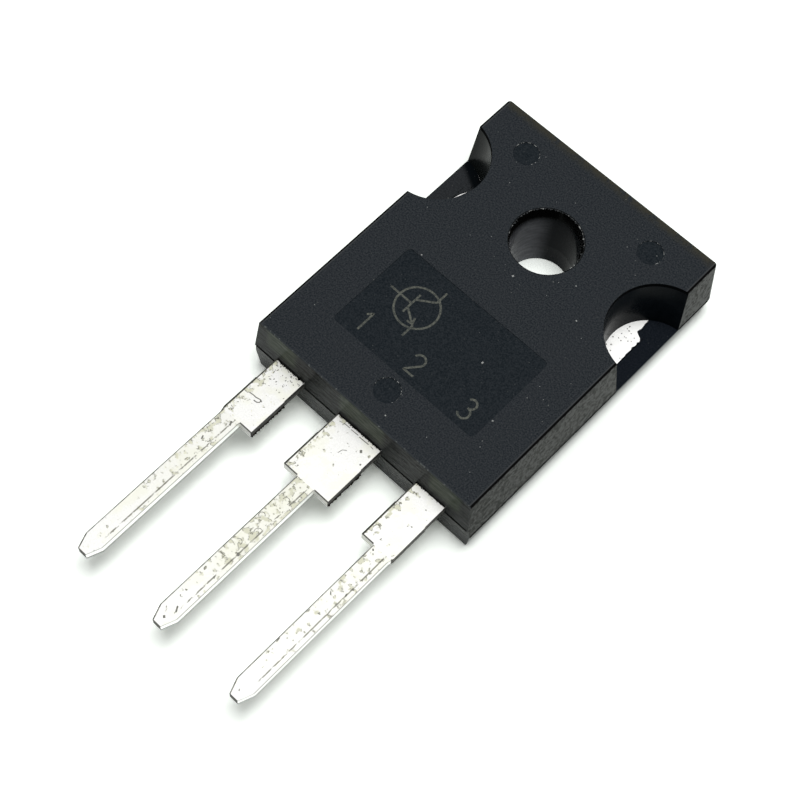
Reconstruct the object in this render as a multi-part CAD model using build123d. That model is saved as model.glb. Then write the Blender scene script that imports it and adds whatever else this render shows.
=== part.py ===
from build123d import *
import os
from math import atan2, degrees, radians, tan

# Three-lead moulded power transistor in the flat TO-247 outline, with what it holds inside.
# Millimetres, +Z up.  The origin is on the axis of the screw hole, in the plane of the bare
# metal back that bolts to a heatsink.  X runs across the leads and -Y is the lead end.

# ---- moulded body ----
body_width = 15.68           # across the parting line, along the sides
body_length = 20.23          # from the parting line at the lead end to that at the hole end
body_height = 5.0
side_parting_height = 1.5    # where the mould halves meet along the sides and the hole end
lead_parting_height = 2.4    # where they meet at the lead end, under the leads
hole_to_end = 5.73           # screw hole axis to the hole end's parting line
wall_draft = 5.0             # degrees, on the walls above the side parting line
lower_wall_draft = 8.0       # degrees, on the walls below it
lower_lead_end_draft = 3.5   # degrees, on the lead end below the leads
mould_mismatch = 0.06        # the upper half overhangs the lower by this at the lead end
top_edge_radius = 0.08
hole_end_corner_radius = 0.5  # at the parting line; the draft narrows it towards the top
screw_hole_diameter = 3.6
hole_straight_depth = 1.5    # straight stretch from the back; the rest opens with its draft
hole_draft = 4.5             # degrees
notch_mouth_radius = 3.0     # half-round side notches, at the top face
notch_draft = 6.0            # degrees
notch_axis_outside = 0.16    # notch axis beyond the parting outline
ejector_diameter = 1.5
ejector_depth = 0.05
ejector_pair_spacing = 8.95
ejector_pair_from_hole = 3.4
ejector_single_from_end = 2.05
panel_length = 9.95          # smooth field for marking, across the body
panel_width = 5.95
panel_depth = 0.03
panel_corner_radius = 0.25
panel_from_end = 3.1         # lead end of the body to the field's edge

# ---- leadframe: collector header and the three leads ----
header_thickness = 1.5
header_width = 13.5
header_length = 16.5
header_from_end = 1.38       # hole end of the body to the header's edge
header_corner_chamfer = 1.0
header_hole_diameter = 7.2   # clears the screw by a wall of plastic
lock_step = 0.25             # the buried rim that keys the header into the plastic
lock_height = 0.8            # height at which that rim starts
lead_thickness = 0.6
lead_pitch = 5.45
lead_length = 14.5           # outside the body
lead_width = 1.2
shoulder_length = 4.0
centre_shoulder_width = 3.1
outer_shoulder_inside = 0.8  # the outer leads' shoulder, beyond the narrow part's inner edge
outer_shoulder_outside = 0.05
trim_start = 1.5             # where the cut-off tie bars met the leads
trim_proud = 0.03
tip_width = 0.55
tip_taper = 0.85
shoulder_taper = 0.3
post_width = 3.9             # bonding posts inside the body
post_length = 2.0
post_inset = 0.5             # lead end of the body to the post's near edge
post_reach_outside = 0.75    # post edge beyond the lead's outer shoulder edge
strap_run = 1.3              # length over which the collector strap climbs
strap_bend_radius = 0.45
strap_overlap = 0.9          # strap root, buried in the header
stamp_roll = 0.06            # rounded edge that the press leaves on the leads' upper side

# ---- chip and bond wires ----
die_size = 4.8
die_thickness = 0.28
die_from_header_edge = 4.15  # die centre to the header's lead-side edge
solder_thickness = 0.06
solder_margin = 0.12
emitter_wire_diameter = 0.38
base_wire_diameter = 0.25
wire_loop_rise = 0.6         # wire's axis at mid-span, above the bonding post
foot_length = 0.75
foot_flattening = 0.6        # height of a pressed foot over the wire's diameter
foot_spread = 1.5            # width of a pressed foot over the wire's diameter
foot_lift = 0.02             # underside of the round wire above the pad, inside its foot
emitter_pad_offsets = (0.35, 1.45)
emitter_post_offsets = (-0.75, 0.75)
base_pad_offset = -1.75
pad_from_die_edge = 0.75
post_bond_from_edge = 1.0

# ---- places worked out from the sizes above ----
body_end_y = hole_to_end
lead_end_y = hole_to_end - body_length
lead_base_z = lead_parting_height
lead_top_z = lead_base_z + lead_thickness
header_end_y = body_end_y - header_from_end
header_lead_edge_y = header_end_y - header_length
shoulder_y = lead_end_y - shoulder_length
tip_y = lead_end_y - lead_length
post_edge_y = lead_end_y + post_length


def rise(shape, height):
    """The shape moved up by height."""
    return Pos(0, 0, height) * shape


def slope(draft):
    """Run over rise of a wall with this draft in degrees."""
    return tan(radians(draft))


def hole_tool():
    """Core pin: straight at the back, then opening with its draft up to the top face."""
    radius = screw_hole_diameter / 2
    mouth = radius + (body_height - hole_straight_depth) * slope(hole_draft)
    outline = Polyline(
        (0, -1), (radius, -1), (radius, hole_straight_depth), (mouth, body_height),
        (mouth, body_height + 1), (0, body_height + 1), close=True)
    return revolve(Plane.XZ * make_face(outline), Axis.Z)


def notch_tool(side):
    """Half-round side notch, from the top face down to the header's upper face."""
    depth = body_height - header_thickness
    floor_radius = notch_mouth_radius - depth * slope(notch_draft)
    axis_x = side * (body_width / 2 + notch_axis_outside)
    cone = Cone(floor_radius, notch_mouth_radius, depth, align=(Align.CENTER, Align.CENTER, Align.MIN))
    return Pos(axis_x, 0, header_thickness) * cone


def lead_end_tool():
    """Wedge under the leads, where the lower half of the mould rises to meet them."""
    top_y = lead_end_y + mould_mismatch
    back_y = top_y + lead_parting_height * slope(lower_lead_end_draft)
    front_y = lead_end_y - body_height
    outline = Polyline(
        (front_y, 0), (back_y, 0), (top_y, lead_parting_height), (front_y, lead_parting_height), close=True)
    return extrude(Plane.YZ * make_face(outline), body_width, both=True)


def body_shell():
    """Outside of the moulding: drafted halves that part lower on the sides than at the leads."""
    step = (lead_parting_height - side_parting_height) * slope(wall_draft)
    length = body_length + step
    outline = Rectangle(body_width, length)
    outline = fillet(outline.vertices().group_by(Axis.Y)[-1], hole_end_corner_radius)
    upper = extrude(outline, body_height - side_parting_height, taper=wall_draft)
    upper = fillet(upper.faces().sort_by(Axis.Z)[-1].edges(), top_edge_radius)
    lower = extrude(outline, side_parting_height, dir=(0, 0, -1), taper=lower_wall_draft)
    shell = Pos(0, body_end_y - length / 2, side_parting_height) * (upper + lower)
    shell -= lead_end_tool()
    shell -= hole_tool()
    for side in (-1, 1):
        shell -= notch_tool(side)
    ejector = Cylinder(ejector_diameter / 2, 2 * ejector_depth)
    for x in (-ejector_pair_spacing / 2, ejector_pair_spacing / 2):
        shell -= Pos(x, ejector_pair_from_hole, body_height) * ejector
    shell -= Pos(0, lead_end_y + ejector_single_from_end, body_height) * ejector
    field = extrude(RectangleRounded(panel_length, panel_width, panel_corner_radius), 2 * panel_depth)
    panel_y = lead_end_y + panel_from_end + panel_width / 2
    return shell - Pos(0, panel_y, body_height - panel_depth) * field


def shaft_points(inner, outer, root_y):
    """One side of a lead's outline from its root to its tip, as distances from its axis.

    inner is the root's half width and outer is the narrow part's.
    """
    trim_y = lead_end_y - trim_start
    points = [(inner, root_y), (inner, trim_y), (inner + trim_proud, trim_y)]
    shoulder = inner + trim_proud
    if shoulder - outer > 2 * shoulder_taper:
        points += [(shoulder, shoulder_y), (outer, shoulder_y)]
    else:
        half_taper = shoulder_taper / 2
        points += [(shoulder, shoulder_y + half_taper), (outer, shoulder_y - half_taper)]
    return points + [(outer, tip_y + tip_taper), (tip_width / 2, tip_y)]


def lead_blank(left_root, right_root, axis_x, root_y):
    """Stamped lead: flat strip with shoulders, tie-bar stubs and a tapered tip."""
    half = lead_width / 2
    left = [(axis_x - d, y) for d, y in shaft_points(left_root, half, root_y)]
    right = [(axis_x + d, y) for d, y in shaft_points(right_root, half, root_y)]
    outline = make_face(Polyline(*left, *reversed(right), close=True))
    return rise(extrude(outline, lead_thickness), lead_base_z)


def roll_edges(lead):
    """Round the long upper edges of the narrow part, as the press leaves them."""
    long_edges = [
        edge for edge in lead.edges().filter_by(Axis.Y)
        if abs(edge.center().Z - lead_top_z) < stamp_roll and edge.length > lead_length / 2]
    return fillet(long_edges, stamp_roll)


def outer_lead(side):
    """Base lead on the left, emitter lead on the right, each with its bonding post."""
    inner = lead_width / 2 + outer_shoulder_inside
    outer = lead_width / 2 + outer_shoulder_outside
    roots = (outer, inner) if side < 0 else (inner, outer)
    axis_x = side * lead_pitch
    lead = roll_edges(lead_blank(*roots, axis_x, post_edge_y))
    post_x = axis_x + side * (outer + post_reach_outside - post_width / 2)
    post_near_y = lead_end_y + post_inset
    post_run = post_edge_y - post_near_y
    post = Box(post_width, post_run, lead_thickness, align=(Align.CENTER, Align.MIN, Align.MIN))
    return lead + Pos(post_x, post_near_y, lead_base_z) * post


def collector_header():
    """Thick copper header with the centre lead: one two-gauge stamping."""
    centre_y = header_end_y - header_length / 2
    rim = Rectangle(header_width, header_length)
    rim = chamfer(rim.vertices().group_by(Axis.Y)[-1], header_corner_chamfer)
    back = Rectangle(header_width - 2 * lock_step, header_length - 2 * lock_step)
    back = chamfer(back.vertices().group_by(Axis.Y)[-1], header_corner_chamfer)
    plate = extrude(back, header_thickness) + rise(extrude(rim, header_thickness - lock_height), lock_height)
    plate = Pos(0, centre_y, 0) * plate
    plate -= Cylinder(header_hole_diameter / 2, 4 * header_thickness)
    low = header_thickness - lead_thickness / 2
    high = lead_base_z + lead_thickness / 2
    climb_y = header_lead_edge_y - strap_run
    line = FilletPolyline(
        (header_lead_edge_y + strap_overlap, low), (header_lead_edge_y, low),
        (climb_y, high), (climb_y - strap_overlap, high), radius=strap_bend_radius)
    profile = Plane.YZ * trace(line, lead_thickness)
    strap = extrude(profile, centre_shoulder_width / 2, both=True)
    half = centre_shoulder_width / 2
    lead = roll_edges(lead_blank(half, half, 0, climb_y - strap_overlap))
    return plate + strap + lead


def die_centre_y():
    """The die sits in the middle of the header's clear end."""
    return header_lead_edge_y + die_from_header_edge


def silicon_die():
    """Square chip on its solder."""
    z = header_thickness + solder_thickness
    return Pos(0, die_centre_y(), z) * Box(
        die_size, die_size, die_thickness, align=(Align.CENTER, Align.CENTER, Align.MIN))


def die_attach_solder():
    """Thin solder layer, a little larger than the die."""
    size = die_size + 2 * solder_margin
    return Pos(0, die_centre_y(), header_thickness) * Box(
        size, size, solder_thickness, align=(Align.CENTER, Align.CENTER, Align.MIN))


def bond_wire(start, end, diameter):
    """Round wire in one arched loop, with a pressed foot on the die and on the post."""
    lift = Vector(0, 0, diameter / 2 + foot_lift)
    heel_start = Vector(*start) + lift
    heel_end = Vector(*end) + lift
    middle = (heel_start + heel_end) / 2
    crown = Vector(middle.X, middle.Y, end[2] + wire_loop_rise)
    path = ThreePointArc(heel_start, crown, heel_end)
    section = Plane(origin=path @ 0, z_dir=path % 0) * Circle(diameter / 2)
    wire = sweep(section, path)
    run = heel_end - heel_start
    turn = Rot(0, 0, degrees(atan2(run.Y, run.X)))
    foot = Box(
        foot_length, diameter * foot_spread, diameter * foot_flattening,
        align=(Align.CENTER, Align.CENTER, Align.MIN))
    for place in (start, end):
        wire += Pos(*place) * turn * foot
    return wire


def bond_wires():
    """One thin wire to the base post, two thick ones to the emitter post."""
    die_top = header_thickness + solder_thickness + die_thickness
    pad_y = die_centre_y() - die_size / 2 + pad_from_die_edge
    post_y = post_edge_y - post_bond_from_edge
    outer = lead_width / 2 + outer_shoulder_outside
    post_x = lead_pitch + outer + post_reach_outside - post_width / 2
    wires = {}
    wires["base_bond_wire"] = bond_wire(
        (base_pad_offset, pad_y, die_top), (-post_x, post_y, lead_top_z), base_wire_diameter)
    for number, (pad_x, shift) in enumerate(zip(emitter_pad_offsets, emitter_post_offsets), 1):
        wires[f"emitter_bond_wire_{number}"] = bond_wire(
            (pad_x, pad_y, die_top), (post_x + shift, post_y, lead_top_z), emitter_wire_diameter)
    return wires


parts = {
    "collector_header": collector_header(),
    "base_lead": outer_lead(-1),
    "emitter_lead": outer_lead(1),
    "die_attach_solder": die_attach_solder(),
    "silicon_die": silicon_die(),
}
parts.update(bond_wires())

# The compound is moulded round everything else, so the body is its shell less all of that.
moulded_body = body_shell()
for piece in parts.values():
    moulded_body -= piece
parts["moulded_body"] = moulded_body

os.makedirs("parts", exist_ok=True)
for name, shape in parts.items():
    export_step(shape, f"parts/{name}.step")
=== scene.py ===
from math import pi, radians
from types import SimpleNamespace

import bpy
import numpy as np
from mathutils import Matrix, Vector


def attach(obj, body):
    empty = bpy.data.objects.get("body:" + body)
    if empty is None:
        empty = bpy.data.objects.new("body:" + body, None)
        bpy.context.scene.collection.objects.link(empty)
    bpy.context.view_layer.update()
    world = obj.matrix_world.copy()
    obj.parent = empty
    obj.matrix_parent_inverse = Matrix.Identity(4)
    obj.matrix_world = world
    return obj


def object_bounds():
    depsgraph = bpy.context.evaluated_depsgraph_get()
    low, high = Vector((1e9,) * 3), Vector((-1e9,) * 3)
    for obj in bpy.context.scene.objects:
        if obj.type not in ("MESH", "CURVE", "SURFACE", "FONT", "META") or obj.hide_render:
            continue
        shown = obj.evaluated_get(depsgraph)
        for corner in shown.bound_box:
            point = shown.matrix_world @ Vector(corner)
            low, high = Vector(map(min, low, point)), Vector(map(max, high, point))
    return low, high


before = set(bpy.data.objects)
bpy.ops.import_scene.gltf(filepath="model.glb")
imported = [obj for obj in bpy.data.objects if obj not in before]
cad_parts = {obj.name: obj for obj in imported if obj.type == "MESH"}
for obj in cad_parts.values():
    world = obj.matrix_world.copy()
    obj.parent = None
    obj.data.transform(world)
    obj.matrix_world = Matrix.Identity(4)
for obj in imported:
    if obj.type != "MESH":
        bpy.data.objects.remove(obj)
cad_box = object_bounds()
MM = 0.001


# ---- Table top, studio light and camera -------------------------------------------------------
# The part lies on its metal back on a sheet of white paper under one large soft overhead light,
# with the pale room around it.  None of this belongs to the part.

def node(tree, kind, feeds=None, **settings):
    """Add a shader node.  feeds maps input sockets to plain values or to other nodes' outputs."""
    made = tree.nodes.new("ShaderNode" + kind)
    for name, value in settings.items():
        setattr(made, name, value)
    for socket, value in (feeds or {}).items():
        if isinstance(value, bpy.types.NodeSocket):
            tree.links.new(value, made.inputs[socket])
        else:
            made.inputs[socket].default_value = value
    return made


def maths(tree, operation, *values, clamp=False):
    """The output of one Math node over numbers or sockets."""
    feeds = dict(enumerate(values))
    return node(tree, "Math", feeds, operation=operation, use_clamp=clamp).outputs[0]


def seen_or_mirrored(tree):
    """1 on rays from the camera, a mirror or glass, and 0 on rays that only light things."""
    path = node(tree, "LightPath").outputs
    seen = maths(tree, "ADD", path["Is Camera Ray"], path["Is Glossy Ray"])
    return maths(tree, "ADD", seen, path["Is Transmission Ray"], clamp=True)


def paper_material():
    """White paper: a plain diffuse sheet whose colour is lifted where it is looked at."""
    lit_colour = (0.8, 0.8, 0.8, 1)
    seen_colour = (1.38, 1.44, 1.38, 1)
    material = bpy.data.materials.new("white_paper")
    material.use_nodes = True
    tree = material.node_tree
    tree.nodes.clear()
    feeds = {0: seen_or_mirrored(tree), 6: lit_colour, 7: seen_colour}
    colour = node(tree, "Mix", feeds, data_type="RGBA").outputs[2]
    paper = node(tree, "BsdfDiffuse", {"Color": colour})
    node(tree, "OutputMaterial", {"Surface": paper.outputs[0]})
    return material


def table_top():
    """A flat square sheet, far wider than the part and a hair under it."""
    half = 1200 * MM
    drop = 0.01 * MM
    mesh = bpy.data.meshes.new("table_top")
    corners = [(-half, -half, -drop), (half, -half, -drop), (half, half, -drop), (-half, half, -drop)]
    mesh.from_pydata(corners, [], [(0, 1, 2, 3)])
    mesh.materials.append(paper_material())
    table = bpy.data.objects.new("table_top", mesh)
    bpy.context.collection.objects.link(table)


def overhead_lamp():
    """Square lamp above the part's middle: its power is pi times its area times its radiance."""
    size = 110 * MM
    offset = Vector((12, 12, 200)) * MM
    radiance = 8.3
    middle = (cad_box[0] + cad_box[1]) / 2
    data = bpy.data.lights.new("overhead", "AREA")
    data.shape = "SQUARE"
    data.size = size
    data.energy = pi * size * size * radiance
    lamp = bpy.data.objects.new("overhead", data)
    lamp.location = middle + offset
    lamp.rotation_mode = "QUATERNION"
    lamp.rotation_quaternion = (-offset).to_track_quat("-Z", "Y")
    bpy.context.collection.objects.link(lamp)


def room_light():
    """Pale room: white where it is seen or mirrored, dimmer as a source of light."""
    lit_level = 0.22
    seen_level = 1.0
    world = bpy.data.worlds.new("pale_room")
    world.use_nodes = True
    tree = world.node_tree
    tree.nodes.clear()
    feeds = {0: seen_or_mirrored(tree), 2: lit_level, 3: seen_level}
    strength = node(tree, "Mix", feeds, data_type="FLOAT").outputs[0]
    sky = node(tree, "Background", {"Color": (1, 1, 1, 1), "Strength": strength})
    node(tree, "OutputWorld", {"Surface": sky.outputs[0]})
    bpy.context.scene.world = world


def camera():
    """Look at target from distance, turned by azimuth and elevation, then rolled about the view."""
    target = Vector((-0.646, -10.563, 0)) * MM
    distance = 99.69 * MM
    azimuth = radians(39.26)
    elevation = radians(64.66)
    roll = radians(4.59)
    data = bpy.data.cameras.new("camera")
    data.lens = 82.27
    data.sensor_width = 36
    data.clip_start = 0.001
    data.clip_end = 10
    turn = Matrix.Rotation(azimuth, 4, "Z") @ Matrix.Rotation(pi / 2 - elevation, 4, "X")
    turn = turn @ Matrix.Rotation(roll, 4, "Z")
    viewer = bpy.data.objects.new("camera", data)
    viewer.matrix_world = Matrix.Translation(target + turn.to_3x3() @ Vector((0, 0, distance))) @ turn
    bpy.context.collection.objects.link(viewer)
    bpy.context.scene.camera = viewer


table_top()
room_light()
overhead_lamp()
camera()
bpy.context.scene.view_settings.view_transform = "Standard"


# ---- Moulded body ------------------------------------------------------------------------------
# Black epoxy filled with silica, transfer-moulded round the leadframe in two halves.  The cavity
# is spark-eroded matt on top; walls, ejector marks and marking field come from smoother steel.

TOP_FACE = 5.0
TOP_SIDE = 7.45          # where the flat top face ends at the sides
TOP_LEAD_END = -14.2     # where it ends over the leads
SIDE_STEP = 1.5          # where the two halves meet along the sides and at the hole end
LEAD_STEP = 2.4          # where they meet at the lead end, under the leads
HOLE_MOUTH = 2.075       # radius of the screw hole at the top face
BLACK = (0.0, 0.0, 0.0)


def millimetres(tree):
    """Object coordinates in millimetres."""
    place = node(tree, "TexCoord").outputs["Object"]
    return node(tree, "VectorMath", {0: place, 3: 1 / MM}, operation="SCALE").outputs[0]


def axes(tree, vector):
    """The x, y and z of a vector."""
    return node(tree, "SeparateXYZ", {0: vector}).outputs


def facing(tree):
    """The x, y and z of the surface's own normal."""
    return axes(tree, node(tree, "NewGeometry").outputs["True Normal"])


def squeezed(tree, place, scale):
    """The place times a factor for each axis, which draws a noise out along the smaller ones."""
    return node(tree, "Mapping", {"Vector": place, "Scale": scale}).outputs[0]


def between(tree, value, low, high):
    """0 below low, 1 above high and a smooth step between them; low may be the higher."""
    feeds = {"Value": value, "From Min": low, "From Max": high}
    return node(tree, "MapRange", feeds, interpolation_type="SMOOTHSTEP").outputs[0]


def unsigned(tree, value):
    """The value without its sign."""
    return maths(tree, "ABSOLUTE", value)


def opposite(tree, share):
    """1 less the share."""
    return maths(tree, "SUBTRACT", 1, share)


def product(tree, first, *others):
    """All the values multiplied together."""
    for other in others:
        first = maths(tree, "MULTIPLY", first, other)
    return first


def either(tree, first, *others):
    """The largest of the values."""
    for other in others:
        first = maths(tree, "MAXIMUM", first, other)
    return first


def noise(tree, place, per_mm, detail=2.0, rough=0.5):
    """Perlin noise about 0.5, with per_mm lumps to the millimetre."""
    feeds = {"Vector": place, "Scale": per_mm, "Detail": detail, "Roughness": rough}
    return node(tree, "TexNoise", feeds).outputs[0]


def specks(tree, place, per_mm, share, radius):
    """Round specks: one cell in share of a Voronoi lattice holds one, of up to radius cells."""
    cell = node(tree, "TexVoronoi", {"Vector": place, "Scale": per_mm})
    lucky = axes(tree, cell.outputs["Color"])[0]
    reach = product(tree, between(tree, lucky, 1 - share, 1.0), radius)
    return between(tree, maths(tree, "SUBTRACT", reach, cell.outputs["Distance"]), 0, 0.02)


def mix(tree, share, first, second):
    """Plain colour mix: first where share is 0 and second where it is 1."""
    made = node(tree, "Mix", {0: share}, data_type="RGBA")
    for socket, value in ((6, first), (7, second)):
        if isinstance(value, bpy.types.NodeSocket):
            tree.links.new(value, made.inputs[socket])
        else:
            made.inputs[socket].default_value = (*value, 1)
    return made.outputs[2]


def blend(tree, share, first, second):
    """Plain number mix: first where share is 0 and second where it is 1."""
    return node(tree, "Mix", {0: share, 2: first, 3: second}, data_type="FLOAT").outputs[0]


def finish(tree, colour, rough, height, metallic=0.0, gloss=0.5):
    """Close a material: height is in millimetres and gloss is the specular level."""
    bump = node(tree, "Bump", {"Height": product(tree, height, MM), "Distance": 1.0, "Strength": 1.0})
    shader = node(tree, "BsdfPrincipled", {
        "Base Color": colour, "Roughness": rough, "Metallic": metallic, "IOR": 1.5,
        "Specular IOR Level": gloss, "Normal": bump.outputs[0]})
    node(tree, "OutputMaterial", {"Surface": shader.outputs[0]})


def new_material(name):
    """An empty node material and its tree."""
    material = bpy.data.materials.new(name)
    material.use_nodes = True
    material.node_tree.nodes.clear()
    return material, material.node_tree


def epoxy_spot(tree):
    """A spot of the moulding: its place, how it faces, its noises and the regions that it is in.

    Each region is a share from 0 to 1.  The sunk ones are the field and the ejector marks, which
    look up from just under the top face.
    """
    spot = SimpleNamespace(place=millimetres(tree))
    spot.x, spot.y, spot.z = axes(tree, spot.place)
    spot.nx, spot.ny, spot.nz = facing(tree)
    spot.from_middle = unsigned(tree, spot.x)
    in_plan = node(tree, "VectorMath", {0: spot.place, 1: (1, 1, 0)}, operation="MULTIPLY").outputs[0]
    spot.from_axis = node(tree, "VectorMath", {0: in_plan}, operation="LENGTH").outputs["Value"]

    spot.grain = noise(tree, spot.place, 12, 2, 0.6)
    spot.grainy = between(tree, spot.grain, 0.25, 0.75)
    spot.mottle = noise(tree, spot.place, 2.2, 3, 0.6)
    spot.wear = noise(tree, spot.place, 3.5, 5, 0.75)
    upright_streaks = noise(tree, squeezed(tree, spot.place, (0.4, 0.4, 2.2)), 2.6, 4, 0.65)
    spot.streaks = between(tree, upright_streaks, 0.35, 0.65)

    spot.high = between(tree, spot.z, 4.0, 4.1)
    spot.on_top = between(tree, spot.nz, 0.8, 0.97)
    spot.on_wall = between(tree, spot.nz, 0.5, 0.4)
    under_top = between(tree, spot.z, TOP_FACE - 0.01, TOP_FACE - 0.015)
    above_floors = between(tree, spot.z, TOP_FACE - 0.1, TOP_FACE - 0.08)
    spot.sunk = product(tree, spot.on_top, under_top, above_floors)
    spot.lead_end = between(tree, spot.y, TOP_LEAD_END + 0.3, TOP_LEAD_END + 0.2)
    spot.lead_wall = product(tree, between(tree, spot.ny, -0.4, -0.6), spot.lead_end)
    sideways = between(tree, unsigned(tree, spot.nx), 0.5, 0.7)
    outer_side = product(tree, sideways, between(tree, spot.from_middle, TOP_SIDE - 0.05, TOP_SIDE))
    spot.outer = either(tree, spot.lead_wall, outer_side, between(tree, spot.y, 5.2, 5.3))
    spot.sides = product(tree, spot.outer, sideways)
    in_bore = between(tree, spot.from_axis, HOLE_MOUTH + 0.045, HOLE_MOUTH + 0.015)
    spot.in_hole = product(tree, in_bore, spot.on_wall)
    return spot


def top_face_colours(tree, spot):
    """Matt grain with faint clouds, browner at the hole end; and the sunk regions' darker grain."""
    cloud_grey = (0.029, 0.032, 0.035)
    far_end_brown = (0.046, 0.042, 0.027)
    cloud = product(tree, noise(tree, spot.place, 0.35, 2, 0.5), 0.3)
    # A browner band along the hole end's top edge, in patches where the mottle allows.
    hole_end = product(tree, spot.high, between(tree, spot.y, 4.7, 5.4),
                       between(tree, spot.mottle, 0.3, 0.55), 0.75)
    matt = mix(tree, spot.grainy, (0.005, 0.0085, 0.0125), (0.042, 0.0465, 0.051))
    matt = mix(tree, cloud, matt, cloud_grey)
    matt = mix(tree, hole_end, matt, far_end_brown)
    sunk = mix(tree, spot.grainy, (0.005, 0.0085, 0.0115), (0.022, 0.0265, 0.031))
    return matt, sunk


def wall_colour(tree, spot):
    """Black walls in the notches and the hole, with painted light on the left notch's far wall; worn
    patches on the outer ones.

    The lead end's wall is streaked from top to bottom too, with a painted reflection of each lead
    above it, and a painted reflection of the paper in a pale band under the line where the halves
    part, fading out towards the bottom.
    """
    painted_light_grey = (0.012, 0.014, 0.014)
    streak_grey = (0.064, 0.069, 0.070)
    paper_reflection_grey = (0.060, 0.064, 0.061)
    outer_lead = 5.85
    # Painted light: the left notch's far wall is made greyer, as if lit.
    lit_left_notch_wall = product(tree, between(tree, spot.x, -5.2, -5.4), between(tree, spot.y, 1.2, 2.2))
    colour = mix(tree, spot.mottle, (0.001, 0.002, 0.003), (0.005, 0.007, 0.009))
    colour = mix(tree, lit_left_notch_wall, colour, painted_light_grey)

    worn_patch = between(tree, spot.wear, 0.35, 0.65)
    worn = mix(tree, worn_patch, (0.003, 0.004, 0.003), (0.024, 0.026, 0.023))
    colour = mix(tree, spot.outer, colour, worn)
    colour = mix(tree, product(tree, spot.lead_wall, spot.streaks, 0.8), colour, streak_grey)

    # Painted reflection: the wall over each lead is olive and lighter, as if mirroring the bright lead
    # below.
    from_outer_lead = unsigned(tree, maths(tree, "SUBTRACT", spot.from_middle, outer_lead))
    over_lead = either(tree, between(tree, from_outer_lead, 1.25, 0.8),
                       between(tree, spot.from_middle, 1.8, 1.3))
    painted_lead_reflection = product(tree, spot.lead_wall, over_lead, between(tree, spot.z, 3.1, 3.9))
    lead_reflection_olive = mix(tree, spot.streaks, (0.046, 0.058, 0.043), (0.10, 0.115, 0.09))
    colour = mix(tree, painted_lead_reflection, colour, lead_reflection_olive)
    # Painted reflection of the paper: a pale band under the parting line, fading out lower down.
    paper_reflection_band = product(tree, spot.lead_wall, between(tree, spot.z, LEAD_STEP + 0.01, LEAD_STEP - 0.01),
                     between(tree, spot.z, LEAD_STEP - 0.9, LEAD_STEP - 0.1))
    return mix(tree, paper_reflection_band, colour, paper_reflection_grey)


def notch_floor_colour(tree, spot):
    """Epoxy on the notches' floors: painted shade makes the right one nearly black, painted light the
    left one paler.

    The left floor's painted shadow lies in a corner past a slanted line, where x times 0.55 plus
    y is -2.1.
    """
    shade = (0.001, 0.002, 0.003)
    past_line = maths(tree, "MULTIPLY_ADD", spot.x, 0.55, spot.y)
    # Painted shade on the right floor, painted light on the left, and the left's painted shadow.
    right = mix(tree, spot.grainy, (0.002, 0.004, 0.007), (0.012, 0.015, 0.020))
    left = mix(tree, spot.grainy, (0.014, 0.016, 0.018), (0.034, 0.037, 0.040))
    left = mix(tree, between(tree, past_line, -2.3, -1.9), left, shade)
    return mix(tree, between(tree, spot.x, 0.5, -0.5), right, left)


def dusted(tree, spot, colour):
    """Pale dust: sparse specks all over, and finer ones on whatever looks up."""
    pale_dust = (0.16, 0.165, 0.155)
    grey_dust = (0.055, 0.06, 0.06)
    sparse = product(tree, specks(tree, spot.place, 2.6, 0.3, 0.09), 0.8)
    fine = product(tree, specks(tree, spot.place, 6.0, 0.22, 0.22), spot.on_top, 0.6)
    return mix(tree, fine, mix(tree, sparse, colour, pale_dust), grey_dust)


def marked_edges(tree, spot, colour):
    """The top face's border: rubbed and chipped over the leads, worn along the sides, then painted
    black there as a painted dark reflection.

    The rim of the hole's mouth is black as well, painted shade.
    """
    rubbed_grey = (0.042, 0.048, 0.052)
    chip_grey = (0.12, 0.13, 0.125)
    worn_grey = (0.060, 0.064, 0.066)
    rounded = product(tree, between(tree, spot.nz, 0.15, 0.25), between(tree, spot.nz, 0.99, 0.96))
    flat = product(tree, spot.high, spot.on_top)

    front = either(tree, product(tree, rounded, between(tree, spot.ny, -0.2, -0.4)),
                   product(tree, flat, between(tree, spot.y, TOP_LEAD_END + 0.01, TOP_LEAD_END - 0.01)))
    front = product(tree, front, spot.lead_end)
    chips = product(tree, front, between(tree, noise(tree, spot.place, 5, 3, 0.6), 0.56, 0.63))
    colour = mix(tree, product(tree, front, 0.8), colour, rubbed_grey)
    colour = mix(tree, chips, colour, chip_grey)

    worn_line = product(tree, flat, between(tree, spot.from_middle, TOP_SIDE - 0.11, TOP_SIDE - 0.08))
    colour = mix(tree, product(tree, worn_line, 0.6), colour, worn_grey)
    # Painted dark reflection: black along the side edges, their rounding and the top of the side walls.
    rim = either(tree, product(tree, rounded, between(tree, unsigned(tree, spot.nx), 0.25, 0.35)),
                 product(tree, flat, between(tree, spot.from_middle, TOP_SIDE - 0.04, TOP_SIDE - 0.01)),
                 product(tree, spot.sides, between(tree, spot.z, TOP_FACE - 0.17, TOP_FACE - 0.12)))
    colour = mix(tree, rim, colour, BLACK)
    # Painted shade: black round the rim of the hole's mouth.
    at_mouth = between(tree, spot.from_axis, HOLE_MOUTH + 0.045, HOLE_MOUTH + 0.025)
    return mix(tree, product(tree, spot.high, at_mouth), colour, BLACK)


def epoxy_roughness(tree, spot):
    """Smooth inner walls; outer sides smooth and rough in patches, duller towards the lead end.

    The top face is matt, and its sunk regions a little less so.
    """
    inner = blend(tree, spot.mottle, 0.2, 0.3)
    patchy = blend(tree, between(tree, spot.wear, 0.4, 0.6), 0.06, 0.5)
    handled = product(tree, between(tree, spot.y, -9.0, -14.4), 0.15)
    rough = blend(tree, spot.sides, inner, blend(tree, handled, patchy, 1.0))
    rough = blend(tree, spot.on_top, rough, blend(tree, spot.grain, 0.5, 0.7))
    return blend(tree, spot.sunk, rough, blend(tree, spot.grain, 0.42, 0.55))


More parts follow.
